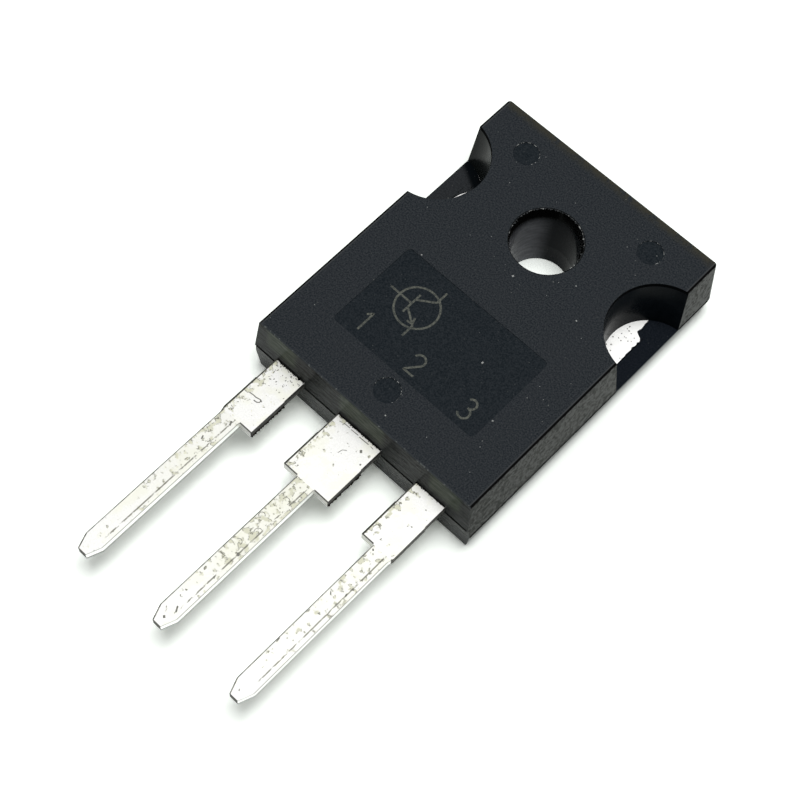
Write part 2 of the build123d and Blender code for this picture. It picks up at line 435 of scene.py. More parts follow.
def hole_wall(tree, spot, colour, rough):
    """Smooth from the core pin; painted highlight low on its left, matt painted shade by mouth and
    right.
    """
    polished_grey = (0.010, 0.013, 0.017)
    painted_highlight_grey = (0.20, 0.21, 0.225)
    polished = product(tree, spot.in_hole, between(tree, spot.z, 4.4, 3.6), 0.5)
    streaky = maths(tree, "MULTIPLY_ADD", spot.streaks, 0.3, 0.7)
    # Painted highlight: a pale grey patch low on the hole's left wall.
    painted_highlight = product(tree, spot.in_hole, between(tree, spot.x, -0.7, -1.7),
                      between(tree, spot.z, 4.3, 3.3), streaky)
    # Painted shade: black by the mouth on the left, and on the right of the hole.
    left_mouth = product(tree, between(tree, spot.x, -0.4, -0.9), between(tree, spot.z, 3.95, 4.35))
    painted_hole_shade = product(tree, spot.in_hole, either(tree, left_mouth, between(tree, spot.x, 1.25, 1.5)))
    colour = mix(tree, polished, colour, polished_grey)
    colour = mix(tree, painted_highlight, colour, painted_highlight_grey)
    colour = mix(tree, painted_hole_shade, colour, BLACK)
    return colour, blend(tree, painted_hole_shade, blend(tree, spot.in_hole, rough, 0.15), 1.0)


def notch_walls(tree, spot, colour, rough):
    """Painted shade, matt black, just under the notches' rims; and matt high on most of the right
    notch's wall.
    """
    inner = opposite(tree, either(tree, spot.outer, spot.in_hole))
    rim = product(tree, spot.on_wall, between(tree, spot.z, TOP_FACE - 0.3, TOP_FACE - 0.22), inner)
    right_top = product(tree, spot.on_wall, opposite(tree, spot.outer), between(tree, spot.x, 4.5, 4.7),
                        between(tree, spot.z, 2.6, 4.2), between(tree, spot.y, 1.6, 0.8), 0.7)
    # Painted shade: black just under the notches' rims.
    colour = mix(tree, product(tree, rim, 0.85), colour, BLACK)
    return colour, blend(tree, right_top, blend(tree, rim, rough, 1.0), 1.0)


def undercut(tree, spot, colour, rough):
    """Below the step the sides lean in under the part: smooth, and grey with a painted reflection of the
    paper.
    """
    below = product(tree, spot.sides, between(tree, spot.z, SIDE_STEP, SIDE_STEP - 0.05))
    # Painted reflection of the paper: the undercut is painted grey.
    undercut_reflection_grey = mix(tree, spot.mottle, (0.032, 0.034, 0.032), (0.072, 0.076, 0.072))
    return mix(tree, below, colour, undercut_reflection_grey), blend(tree, below, rough, 0.1)


def moulding_compound():
    """The whole moulding: colours laid region over region, then roughness, then the mould's relief.

    The relief is the grain times a depth: deepest on the matt top and next on the outer walls.
    """
    top_relief, sunk_relief, outer_relief, inner_relief = 0.0055, 0.0022, 0.004, 0.0012
    material, tree = new_material("black_epoxy")
    spot = epoxy_spot(tree)
    matt, sunk = top_face_colours(tree, spot)
    notch_floor = product(tree, spot.on_top, between(tree, spot.z, 2.0, 1.9))
    colour = mix(tree, spot.on_top, wall_colour(tree, spot), matt)
    colour = mix(tree, spot.sunk, colour, sunk)
    colour = mix(tree, notch_floor, colour, notch_floor_colour(tree, spot))
    colour = marked_edges(tree, spot, dusted(tree, spot, colour))
    rough = epoxy_roughness(tree, spot)
    for region in (hole_wall, notch_walls, undercut):
        colour, rough = region(tree, spot, colour, rough)
    relief = blend(tree, spot.on_top, blend(tree, spot.outer, inner_relief, outer_relief), top_relief)
    relief = blend(tree, spot.sunk, relief, sunk_relief)
    finish(tree, colour, rough, product(tree, spot.grain, relief), gloss=0.025)
    return material


def dress(name, material):
    """Give a carried-over node its material on its own material slots."""
    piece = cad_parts[name]
    for slot in piece.material_slots:
        slot.link = "OBJECT"
        slot.material = material


epoxy = moulding_compound()
dress("moulded_body", epoxy)


# ---- Leadframe: header and the three leads -----------------------------------------------------
# Copper strip stamped to shape, moulded in, then tinned wherever it is bare.  The tie bars that
# joined the leads are cut off last, which leaves raw sheared copper on the shoulders' sides.

HEADER_TOP = 1.5         # the header's upper face, bare in the notches
BODY_END = -14.5         # where the leads leave the moulding
TRIM_START = -16.0       # where the cut-off tie bars began
SHOULDER_END = -18.5
TIP_END = -29.0
LEAD_TOP = 3.0
LEAD_PITCH = 5.45
HALF_WIDTH = 0.6         # of the narrow part
TIP_HALF_WIDTH = 0.275   # of the tip's end
TIP_WIDENING = 0.38      # of half the width, for each millimetre from the tip's end


def lead_spot(tree, axis, left_step, right_step, tarnish):
    """A spot of a lead: its place, its gaps to the two long edges, its noises and its regions.

    axis is the lead's middle line, the steps are how far its shoulder stands out past the narrow
    part, and tarnish is how much handling shows.  Half the width grows from the tip's end until it
    is the narrow part's.
    """
    spot = SimpleNamespace(place=millimetres(tree))
    x, spot.y, spot.z = axes(tree, spot.place)
    nx, _, spot.nz = facing(tree)
    spot.outside = between(tree, spot.y, BODY_END + 0.1, BODY_END)
    spot.wide = between(tree, spot.y, SHOULDER_END - 0.01, SHOULDER_END + 0.01)
    from_tip = maths(tree, "SUBTRACT", spot.y, TIP_END)
    half = maths(tree, "MULTIPLY_ADD", from_tip, TIP_WIDENING, TIP_HALF_WIDTH)
    half = maths(tree, "MINIMUM", half, HALF_WIDTH)
    spot.across = maths(tree, "SUBTRACT", x, axis)
    right_edge = maths(tree, "MULTIPLY_ADD", spot.wide, right_step, half)
    left_edge = maths(tree, "MULTIPLY_ADD", spot.wide, left_step, half)
    spot.from_right = maths(tree, "SUBTRACT", right_edge, spot.across)
    spot.from_left = maths(tree, "ADD", left_edge, spot.across)

    spot.upper = product(tree, spot.outside, between(tree, spot.nz, 0.3, 0.6))
    spot.shaft = product(tree, spot.upper, opposite(tree, spot.wide))
    spot.handled = product(tree, spot.shaft, between(tree, spot.y, TIP_END + 1, TIP_END + 6), tarnish)
    sideways = product(tree, spot.outside, between(tree, unsigned(tree, nx), 0.5, 0.8))
    spot.sideways = sideways
    spot.shoulder_side = product(tree, sideways, spot.wide)
    spot.shaft_side = product(tree, sideways, opposite(tree, spot.wide))

    spot.cloud = noise(tree, spot.place, 2.7, 4, 0.6)
    spot.breaks = noise(tree, spot.place, 4.2, 3, 0.6)
    spot.fine = noise(tree, spot.place, 12, 3, 0.6)
    spot.dashes = noise(tree, squeezed(tree, spot.place, (1, 0.35, 1)), 5.5, 3, 0.7)
    return spot


def clean_tin(tree, spot):
    """Pale grey with yellower clouds, duller where the narrow part was handled; painted light makes the
    header white.
    """
    header_painted_white = (0.96, 0.96, 0.94)
    yellow_tin = (0.70, 0.70, 0.60)
    dull_tin = (0.60, 0.60, 0.50)
    yellowed = between(tree, noise(tree, spot.place, 0.8, 3, 0.6), 0.45, 0.62)
    colour = mix(tree, between(tree, spot.fine, 0.3, 0.7), (0.68, 0.68, 0.66), (0.76, 0.76, 0.74))
    colour = mix(tree, product(tree, yellowed, 0.55), colour, yellow_tin)
    colour = mix(tree, product(tree, spot.handled, 0.5), colour, dull_tin)
    # Painted light: the header's tin, in the notches' shade, is made white.
    return mix(tree, spot.outside, header_painted_white, colour)


def stained(tree, spot, colour):
    """Olive stain where one noise passes a threshold, and a dark tide line at the threshold.

    The threshold falls where the narrow part was handled and near its left edge, so the stains
    spread there.  The tide line is a thin band that a second noise breaks up.
    """
    olive = (0.65, 0.65, 0.52)
    tide_brown = (0.17, 0.17, 0.125)
    near_left = product(tree, between(tree, spot.from_left, 0.85, 0.2),
                        between(tree, spot.y, TIP_END + 4, TIP_END + 8))
    threshold = maths(tree, "MULTIPLY_ADD", either(tree, spot.handled, near_left), -0.14, 0.67)
    over = maths(tree, "SUBTRACT", spot.cloud, threshold)
    spot.stain = product(tree, spot.upper, between(tree, over, -0.02, 0.05))
    at_border = between(tree, unsigned(tree, over), 0.032, 0.012)
    spot.tide = product(tree, spot.upper, at_border, between(tree, spot.breaks, 0.45, 0.58))
    colour = mix(tree, spot.stain, colour, olive)
    return mix(tree, product(tree, spot.tide, 0.9), colour, tide_brown)


def pitted(tree, spot, colour):
    """Dark pits: along the right edge, thinly all over, and crowded on the notches' metal."""
    pit_brown = (0.10, 0.10, 0.08)
    by_edge = product(tree, spot.upper, specks(tree, spot.place, 3.4, 0.24, 0.15),
                      between(tree, spot.from_right, 0.5, 0.2))
    thin = product(tree, spot.upper, specks(tree, spot.place, 2.1, 0.12, 0.13))
    on_header = product(tree, between(tree, spot.nz, 0.9, 0.95), between(tree, spot.y, -4.1, -4.0))
    crowded = product(tree, on_header, specks(tree, spot.place, 4.5, 0.55, 0.3), 0.8)
    spot.pits = either(tree, by_edge, thin, crowded)
    return mix(tree, product(tree, spot.pits, 0.85), colour, pit_brown)


def dark_edge_lines(tree, spot, colour):
    """A painted dark reflection on the left edge, a crease of painted shade by the right one, the
    shoulder's lip.
    """
    edge_black = (0.05, 0.05, 0.042)
    crease_shade_brown = (0.17, 0.17, 0.14)
    lip_black = (0.07, 0.07, 0.06)
    crease_from_right = 0.28
    # Painted dark reflection: a dark line along the left edge, dashed on the narrow part.
    dashed = mix(tree, between(tree, spot.dashes, 0.42, 0.58), (0.30, 0.30, 0.27), (0.06, 0.06, 0.05))
    spot.left_line = product(tree, spot.upper, between(tree, spot.from_left, 0.085, 0.06))
    colour = mix(tree, spot.left_line, colour, mix(tree, spot.wide, dashed, edge_black))

    # Painted shade: a broken dark line in the crease beside the right edge.
    gap = unsigned(tree, maths(tree, "SUBTRACT", spot.from_right, crease_from_right))
    crease = product(tree, spot.shaft, between(tree, gap, 0.05, 0.03),
                     between(tree, spot.dashes, 0.43, 0.52),
                     between(tree, spot.y, TIP_END + 1.2, TIP_END + 1.6), 0.9)
    colour = mix(tree, crease, colour, crease_shade_brown)
    stepped_out = between(tree, unsigned(tree, spot.across), HALF_WIDTH, HALF_WIDTH + 0.03)
    at_shoulder_end = between(tree, spot.y, SHOULDER_END + 0.09, SHOULDER_END + 0.06)
    spot.lip = product(tree, spot.upper, spot.wide, at_shoulder_end, stepped_out)
    return mix(tree, spot.lip, colour, lip_black)


def lead_sides(tree, spot, colour):
    """Painted shade on the shoulder sides, raw copper from the trim line on, and a dark cut at the tip's
    end.

    The narrow part's sides are bright, with a grey upper arris and a dark line at the foot.
    """
    cut_black = (0.03, 0.027, 0.022)
    bright_tin = (0.93, 0.93, 0.91)
    arris_grey = (0.25, 0.25, 0.22)
    foot_black = (0.06, 0.06, 0.05)
    # Painted shade on the tinned shoulder sides: black up high, dark grey low down by the floor's
    # shadow.
    near_top = between(tree, spot.z, LEAD_TOP - 0.45, LEAD_TOP - 0.3)
    rounded = mix(tree, near_top, (0.13, 0.13, 0.12), (0.03, 0.029, 0.025))
    colour = mix(tree, spot.shoulder_side, colour, rounded)
    past_trim = between(tree, spot.y, TRIM_START + 0.05, TRIM_START - 0.05)
    raw = mix(tree, between(tree, spot.breaks, 0.4, 0.6), (0.003, 0.003, 0.002), (0.03, 0.025, 0.02))
    colour = mix(tree, product(tree, spot.shoulder_side, past_trim), colour, raw)
    spot.cut_end = product(tree, spot.outside, between(tree, spot.y, TIP_END + 0.03, TIP_END + 0.01))
    colour = mix(tree, spot.cut_end, colour, cut_black)

    colour = mix(tree, spot.shaft_side, colour, bright_tin)
    arris = product(tree, spot.shaft_side, between(tree, spot.z, LEAD_TOP - 0.11, LEAD_TOP - 0.07), 0.7)
    foot = product(tree, spot.sideways, between(tree, spot.z, LEAD_TOP - 0.45, LEAD_TOP - 0.49))
    colour = mix(tree, arris, colour, arris_grey)
    spot.side_grime = either(tree, arris, foot)
    return mix(tree, product(tree, foot, 0.9), colour, foot_black)


def tinned_copper(name, axis, left_step, right_step, tarnish):
    """Matt tin on one lead, with stains, pits, dark edge lines and sides laid over it in turn.

    Dirt and painted shade aren't metallic, and the narrow part's clean sides nearly are.  The relief
    is the clouds' and the fine noise's, less a groove under each tide line.
    """
    material, tree = new_material(name)
    spot = lead_spot(tree, axis, left_step, right_step, tarnish)
    colour = clean_tin(tree, spot)
    for region in (stained, pitted, dark_edge_lines, lead_sides):
        colour = region(tree, spot, colour)
    dirt_and_painted_shade = either(tree, spot.left_line, spot.lip, spot.shoulder_side, spot.cut_end, spot.pits, spot.tide)
    metallic = blend(tree, dirt_and_painted_shade, blend(tree, spot.stain, 0.4, 0.25), 0.0)
    clean_side = product(tree, spot.shaft_side, opposite(tree, spot.side_grime), 0.9)
    metallic = either(tree, metallic, clean_side)
    rough = blend(tree, spot.stain, blend(tree, spot.fine, 0.45, 0.58), 0.65)
    rough = blend(tree, spot.shaft_side, rough, 0.3)
    height = maths(tree, "MULTIPLY_ADD", spot.cloud, 0.010, product(tree, spot.fine, 0.0014))
    height = maths(tree, "SUBTRACT", height, product(tree, spot.tide, 0.004))
    finish(tree, colour, rough, height, metallic=metallic, gloss=0.15)
    return material


base_tin = tinned_copper("tin_base_lead", -LEAD_PITCH, left_step=0.05, right_step=0.8, tarnish=0.5)
collector_tin = tinned_copper("tin_collector", 0, left_step=0.95, right_step=0.95, tarnish=1.0)
emitter_tin = tinned_copper("tin_emitter_lead", LEAD_PITCH, left_step=0.8, right_step=0.05, tarnish=0.6)
dress("base_lead", base_tin)
dress("collector_header", collector_tin)
dress("emitter_lead", emitter_tin)


# ---- Chip, its solder and the bond wires -------------------------------------------------------
# Sealed inside the moulding: a silicon chip soldered to the header, and aluminium wires pressed
# ultrasonically on the chip's pads and on the posts of the two outer leads.

def silicon():
    """Polished grey silicon: faint mottle, with the saw's fine ridges on its cut sides."""
    material, tree = new_material("polished_silicon")
    place = millimetres(tree)
    mottle = noise(tree, place, 1.5, 3, 0.6)
    ridges = noise(tree, squeezed(tree, place, (1, 1, 12)), 2.5, 2, 0.5)
    sawn = between(tree, facing(tree)[2], 0.7, 0.3)
    colour = mix(tree, mottle, (0.10, 0.105, 0.125), (0.16, 0.165, 0.19))
    rough = blend(tree, sawn, blend(tree, mottle, 0.1, 0.16), 0.42)
    finish(tree, colour, rough, product(tree, ridges, sawn, 0.004), metallic=0.35)
    return material


def soft_solder():
    """Dull lead-rich solder, wrinkled where it froze."""
    material, tree = new_material("dull_solder")
    wrinkle = noise(tree, millimetres(tree), 3.5, 4, 0.65)
    colour = mix(tree, wrinkle, (0.30, 0.30, 0.29), (0.52, 0.52, 0.50))
    finish(tree, colour, blend(tree, wrinkle, 0.34, 0.52), product(tree, wrinkle, 0.012), metallic=1.0)
    return material


def drawn_aluminium():
    """Soft bright wire: faint mottle, and fine lines along the way that it was drawn."""
    material, tree = new_material("drawn_aluminium")
    place = millimetres(tree)
    lines = noise(tree, squeezed(tree, place, (1, 0.1, 1)), 22, 2, 0.5)
    mottle = noise(tree, place, 3, 3, 0.6)
    colour = mix(tree, mottle, (0.66, 0.66, 0.67), (0.80, 0.80, 0.81))
    finish(tree, colour, blend(tree, lines, 0.24, 0.38), product(tree, lines, 0.003), metallic=1.0)
    return material


dress("silicon_die", silicon())
dress("die_attach_solder", soft_solder())
wire = drawn_aluminium()
for part in ("base_bond_wire", "emitter_bond_wire_1", "emitter_bond_wire_2"):
    dress(part, wire)


# ---- Flash in the notches, at the parting line and at the leads' roots --------------------------
# Epoxy crept under the steel wherever the mould closed: as skins a few hundredths thick on the
# notches' bare metal and on the leads' roots, and as a low ridge round the parting line.  The ridge
# and the root skins are painted black: painted shade under the parting step and at the leads' roots.

def add_piece(name, sheets, material):
    """One object out of closed sheets: each is a top and a bottom grid of the same shape.

    Both grids are rows x columns of points.  The top faces away from the bottom, for which the
    rows are taken backwards where they need to be, and faces round the borders join the two.
    """
    points, faces, start = [], [], 0
    for top, bottom in sheets:
        normal = np.cross(np.gradient(top, axis=0), np.gradient(top, axis=1))
        if (normal * (top - bottom)).sum() < 0:
            top, bottom = top[::-1], bottom[::-1]
        rows, columns = top.shape[:2]
        at = np.arange(rows * columns).reshape(rows, columns) + start
        down = at + rows * columns
        quads = np.stack([at[:-1, :-1], at[1:, :-1], at[1:, 1:], at[:-1, 1:]], -1).reshape(-1, 4)
        under = np.stack([down[:-1, :-1], down[:-1, 1:], down[1:, 1:], down[1:, :-1]], -1).reshape(-1, 4)
        loop = np.concatenate([at[:, 0], at[-1, 1:], at[-2::-1, -1], at[0, -2:0:-1]])
        after = np.roll(loop, -1)
        wall = np.stack([loop, loop + rows * columns, after + rows * columns, after], -1)
        points += [top.reshape(-1, 3), bottom.reshape(-1, 3)]
        faces += [quads, under, wall]
        start += 2 * rows * columns
    mesh = bpy.data.meshes.new(name)
    mesh.from_pydata((np.concatenate(points) * MM).tolist(), [], np.concatenate(faces).tolist())
    mesh.materials.append(material)
    piece = bpy.data.objects.new(name, mesh)
    bpy.context.collection.objects.link(piece)
    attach(piece, "root")
    return piece


def flash_skin(side, along, border, outer, thickness=0.03):
    """Skin between two borders: its point is border + share of the way to outer, at each y.

    Its top is thickness above the notch floor, and thins to a third of that at both borders: the
    thickness follows the root of half a sine wave across, plus a little seeded noise.
    """
    buried = 0.005
    share = np.linspace(0, 1, 9)
    x = side * (border[:, None] + (outer - border)[:, None] * share)
    y = np.repeat(along[:, None], share.size, axis=1)
    crown = thickness * (0.33 + 0.67 * np.sin(np.pi * share) ** 0.5)
    rough = np.random.default_rng(5).normal(0, thickness * 0.07, x.shape)
    top = np.stack([x, y, HEADER_TOP + crown + rough], -1)
    bottom = np.stack([x, y, np.full_like(x, HEADER_TOP - buried)], -1)
    return top, bottom


def notch_skins():
    """Right: one skin along the metal's edge.  Left: nearly all covered, but for one bare sliver.

    A border is a line through a few points plus seeded noise of a few hundredths, kept between
    the foot of the notch's wall and the hem, just past the metal's edge.
    """
    notch_axis, floor_radius, metal_edge = 8.0, 2.63, 6.75
    rng = np.random.default_rng(11)
    along = np.linspace(-2.3, 2.3, 140)
    ragged = np.convolve(rng.normal(0, 0.05, along.size + 4), np.ones(5) / 5, "valid")
    wall_foot = notch_axis - np.sqrt(floor_radius ** 2 - along ** 2)
    hem = metal_edge + 0.05
    right = np.interp(along, [-2.3, -1.2, -0.5, -0.1, 0.05, 0.3, 0.45, 0.62, 0.8, 0.9, 1.0, 1.3, 1.7],
                      [6.78, 6.78, 6.72, 6.74, 6.66, 6.79, 6.70, 6.77, 6.62, 6.42, 6.26, 6.31, 6.27])
    right = np.clip(right + ragged * 0.5, wall_foot, hem - 0.02)
    left_gap = np.interp(along, [0.15, 0.4, 0.65, 0.95, 1.05], [0, 0.035, 0.06, 0.02, 0])
    middle = np.interp(along, [0.15, 0.5, 1.0], [6.74, 6.62, 6.44])
    inner = np.clip(middle - left_gap / 2 + ragged * 0.3, wall_foot + 0.01, hem)
    outer = np.clip(middle + left_gap / 2 + ragged * 0.3, wall_foot + 0.02, hem - 0.02)
    covered = np.full_like(along, hem)
    return ([flash_skin(1, along, right, covered)],
            [flash_skin(-1, along, outer, covered), flash_skin(-1, along, wall_foot, inner)])


def parting_ridge(start, end, foot, lean, rng, least=0.008, spread=0.012):
    """Ridge on a wall, from start to end at the height foot: it stands proud there and dies out above.

    Its face is the wall's foot line, moved out by least plus a seeded share of spread, which fades
    to a tenth up the wall, less what the wall leans in at that height.  lean is in degrees.
    """
    height, spacing, buried = 0.16, 0.05, 0.05
    start, end = np.asarray(start, float), np.asarray(end, float)
    run = end - start
    length = np.hypot(*run)
    out = np.array([run[1], -run[0]]) / length
    steps = np.linspace(0, 1, int(length / spacing))
    share = np.linspace(0, 1, 4)
    rise = height * share
    proud = (least + spread * rng.random(steps.size))[:, None] * (1 - share * 0.9)
    line = (start + run * steps[:, None])[:, None, :]
    face = line + out * (proud - rise * np.tan(radians(lean)))[..., None]
    z = np.broadcast_to((foot + rise)[:, None], (steps.size, share.size, 1))
    return np.concatenate([face, z], -1), np.concatenate([face - out * buried, z], -1)


def parting_ridges():
    """Sides and hole end at the side step, and the lead end between the leads at the lead step."""
    rng = np.random.default_rng(17)
    side, hole_end, wall_draft = 7.84, 5.73, 5
    along_side = [(-14.3, -2.68), (2.68, 5.2)]
    beside_leads = [(-7.65, -6.12), (-4.02, -1.58), (1.58, 4.02), (6.12, 7.65)]
    low = [((side, near), (side, far)) for near, far in along_side]
    low += [((-side, far), (-side, near)) for near, far in reversed(along_side)]
    low += [((7.3, hole_end), (-7.3, hole_end))]
    high = [((left, BODY_END), (right, BODY_END)) for left, right in beside_leads]
    ridges = [parting_ridge(*run, SIDE_STEP, wall_draft, rng) for run in low]
    return ridges + [parting_ridge(*run, LEAD_STEP, wall_draft, rng) for run in high]


def root_skins():
    """On each lead's root: a sheet from inside the wall out to a ragged front, at each x across.

    The front is a seeded number to the power of three, so it is mostly short with a few tongues.
    """
    rng = np.random.default_rng(29)
    inside, least, longest = BODY_END + 0.06, 0.015, 0.09
    spacing, thickness, thinning = 0.03, 0.02, 0.012
    sheets = []
    for left, right in ((-6.1, -4.05), (-1.55, 1.55), (4.05, 6.1)):
        across = np.linspace(left + 0.01, right - 0.01, int((right - left) / spacing))
        front = BODY_END - least - longest * rng.random(across.size) ** 3
        share = np.linspace(0, 1, 4)
        y = inside + (front - inside)[:, None] * share
        x = np.repeat(across[:, None], share.size, axis=1)
        height = LEAD_TOP + thickness - thinning * share
        top = np.stack([x, y, np.broadcast_to(height, x.shape)], -1)
        bottom = np.stack([x, y, np.full_like(x, LEAD_TOP - 0.005)], -1)
        sheets.append((top, bottom))
    return sheets


def painted_shade_epoxy():
    """Near-black, dead matt epoxy with a little grain: painted shade at the parting step and the leads'
    roots.
    """
    material, tree = new_material("painted_shade_epoxy")
    place = millimetres(tree)
    grain = noise(tree, place, 9, 3, 0.6)
    colour = mix(tree, between(tree, grain, 0.35, 0.7), BLACK, (0.02, 0.021, 0.02))
    finish(tree, colour, blend(tree, grain, 0.8, 1.0), product(tree, grain, 0.006), gloss=0.0)
    return material


shade_black = painted_shade_epoxy()
# Painted shade: the parting ridge is black where the parting step casts its shade line.
add_piece("parting_flash", parting_ridges(), shade_black)
# Painted shade: the root skins are black where the leads leave the wall.
add_piece("lead_root_flash", root_skins(), shade_black)
right_skin, left_skin = notch_skins()
add_piece("notch_flash_right", right_skin, epoxy)
add_piece("notch_flash_left", left_skin, epoxy)


# ---- Flash round the screw hole and the ejector marks ------------------------------------------
# Where steel pins met the cavity, thin flash stood up and partly broke away.  It is left as a
# torn fringe in the hole's mouth and as bits of pale rim round the far side of each mark.

def torn_flash(name, pale_from):
    """Torn thin epoxy, pale where a noise is above pale_from and the break shows white filler."""
    filler_grey = (0.30, 0.31, 0.30)
    material, tree = new_material(name)
    place = millimetres(tree)
    grain = noise(tree, place, 14, 3, 0.6)
    flakes = noise(tree, place, 5.5, 2, 0.6)
    colour = mix(tree, between(tree, grain, 0.4, 0.62), (0.006, 0.008, 0.010), (0.030, 0.033, 0.034))
    colour = mix(tree, between(tree, flakes, pale_from, pale_from + 0.08), colour, filler_grey)
    finish(tree, colour, blend(tree, grain, 0.4, 0.65), product(tree, grain, 0.01), gloss=0.1)
    return material


def fringe(radius, reach, angles, low, high):
    """Flat fin inside a circle: from just outside radius to radius less reach, at each angle.

    It lies between the heights low and high, and its free edge droops by a third of their gap.
    """
    radii = np.stack([np.full_like(reach, radius + 0.02), radius - reach * 0.5, radius - reach], -1)
    x, y = radii * np.cos(angles)[:, None], radii * np.sin(angles)[:, None]
    lift = np.array([0, 0, -0.3]) * (high - low)
    top = np.stack([x, y, np.broadcast_to(high + lift, x.shape)], -1)
    bottom = np.stack([x, y, np.broadcast_to(low + lift, x.shape)], -1)
    return top, bottom


def torn(rng, count, smooth, rest):
    """Seeded ragged profile from 0 to 1: smoothed noise, cut off below rest and stretched."""
    raw = np.convolve(rng.random(count + smooth - 1), np.ones(smooth) / smooth, "valid")
    raw = (raw - raw.min()) / (raw.max() - raw.min())
    return np.clip((raw - rest) / (1 - rest), 0, 1)


def hole_fringe():
    """Fringe on the far side of the mouth, up to 0.15 mm deep, which fades out at both its ends."""
    rng = np.random.default_rng(3)
    least, deepest = 0.015, 0.13
    angles = np.linspace(radians(-25), radians(215), 620)
    fade = np.clip(np.sin(np.linspace(0, pi, angles.size)) * 3, 0, 1)
    reach = least + deepest * torn(rng, angles.size, smooth=5, rest=0.35) * fade
    return [fringe(HOLE_MOUTH, reach, angles, TOP_FACE - 0.035, TOP_FACE - 0.01)]


def mark_rims():
    """Bits of rim on each ejector mark: arcs of a low ridge that come and go with the angle.

    Each arc is a band about the mark's radius, of a seeded width, which rises and falls along the
    arc as half a sine wave.  Arc and gap lengths are in radians.
    """
    rng = np.random.default_rng(8)
    mark_radius, mark_floor = 0.75, TOP_FACE - 0.05
    sheets = []
    for centre_x, centre_y in ((-4.475, 3.4), (4.475, 3.4), (0.0, -12.45)):
        angle = -0.5
        while angle < 3.2:
            length = rng.uniform(0.05, 0.34)
            turn = np.linspace(angle, angle + length, 14)
            height = 0.006 + 0.012 * np.sin(np.linspace(0, pi, turn.size)) * rng.uniform(0.3, 1)
            width = 0.018 + 0.02 * rng.random(turn.size)
            radii = mark_radius + np.stack([-width, width], -1)
            x = centre_x + radii * np.cos(turn)[:, None]
            y = centre_y + radii * np.sin(turn)[:, None]
            z = np.repeat((TOP_FACE - 0.015 + height)[:, None], 2, axis=1)
            top = np.stack([x, y, np.minimum(z, TOP_FACE - 0.0005)], -1)
            bottom = np.stack([x, y, np.full_like(x, mark_floor + 0.01)], -1)
            sheets.append((top, bottom))
            angle += length + rng.uniform(0.03, 0.3)
    return sheets


add_piece("hole_flash", hole_fringe(), torn_flash("hole_flash", 0.57))
add_piece("ejector_mark_flash", mark_rims(), torn_flash("ejector_mark_flash", 0.46))


# ---- Stray flakes on the top face --------------------------------------------------------------
# Crumbs of broken flash that the next press of the mould bedded in the top face.  A few are large
# enough to see one by one; the rest are as fine as dust.

def stroke(path, width, low, high):
    """Flat line along a path: both sides stand half the width off it, across its own direction."""
    spacing = 0.06
    path = np.asarray(path, float)
    gap = np.hypot(*np.diff(path, axis=0).T)
    reached = np.concatenate([[0], np.cumsum(gap)])
    steps = np.linspace(0, reached[-1], max(int(reached[-1] / spacing), 3))
    line = np.stack([np.interp(steps, reached, path[:, 0]), np.interp(steps, reached, path[:, 1])], -1)
    run = np.gradient(line, axis=0)
    across = np.stack([-run[:, 1], run[:, 0]], -1) / np.hypot(*run.T)[:, None]
    wide = np.broadcast_to(width, steps.shape)[:, None] / 2
    edges = np.stack([line - across * wide, line + across * wide], 1)
    top = np.concatenate([edges, np.full((*edges.shape[:2], 1), high)], -1)
    bottom = np.concatenate([edges, np.full((*edges.shape[:2], 1), low)], -1)
    return top, bottom


def fleck(x, y, size, tilt, width, low, high):
    """Short stroke about a point: it reaches size to each side, in the direction of tilt."""
    reach = np.array([np.cos(tilt), np.sin(tilt)]) * size
    return stroke([(x, y) - reach, (x, y) + reach], width, low, high)


def stray_flakes():
    """Large flakes at their places, then fine ones strewn at random, but not on the marked field."""
    rng = np.random.default_rng(41)
    large_size, fine_size, low, high = 0.05, 0.018, TOP_FACE - 0.05, TOP_FACE + 0.004
    large = [(0.14, -2.87), (2.95, -0.96), (4.34, -2.53), (5.07, -9.93), (0.92, -13.56), (-4.22, -5.34),
             (2.45, -7.83)]
    fine = rng.uniform((-7.2, -14.0), (7.2, 5.5), (60, 2))
    axis_gap = np.hypot(*fine.T)
    notch_gap = np.hypot(np.abs(fine[:, 0]) - 8.0, fine[:, 1])
    in_field = (np.abs(fine[:, 0]) < 5.4) & (np.abs(fine[:, 1] + 8.4) < 3.3)
    fine = fine[(axis_gap > 2.4) & (notch_gap > 3.4) & ~in_field]
    places = np.concatenate([large, fine])
    tilts = rng.uniform(0, pi, len(places))
    sizes = np.where(np.arange(len(places)) < len(large), large_size, fine_size)
    sizes = sizes * rng.uniform(0.7, 1.3, len(places))
    flakes = zip(places, sizes, tilts)
    return [fleck(x, y, size, tilt, size * 1.6, low, high) for (x, y), size, tilt in flakes]


add_piece("stray_flakes", stray_flakes(), torn_flash("stray_flakes", 0.2))


# ---- Marks burnt into the field ----------------------------------------------------------------
# A laser writes on the smooth field by turning a thin layer of epoxy grey.  Here it says which
# lead is which, with plain numbers and the general sign for a transistor.

def burnt_epoxy():
    """Grey-tan laser mark, dotted along the line where the pulses fell."""
    material, tree = new_material("burnt_epoxy")
    place = millimetres(tree)
    pulse = noise(tree, place, 9, 3, 0.6)
    colour = mix(tree, between(tree, pulse, 0.35, 0.68), (0.035, 0.040, 0.036), (0.115, 0.12, 0.10))
    finish(tree, colour, blend(tree, pulse, 0.6, 0.8), product(tree, pulse, 0.006), gloss=0.2)
    return material


def arc(centre, radius, start, end, count=28):
    """Points of a circle from one angle in degrees to another."""
    turn = np.radians(np.linspace(start, end, count))
    return np.stack([centre[0] + radius * np.cos(turn), centre[1] + radius * np.sin(turn)], -1)


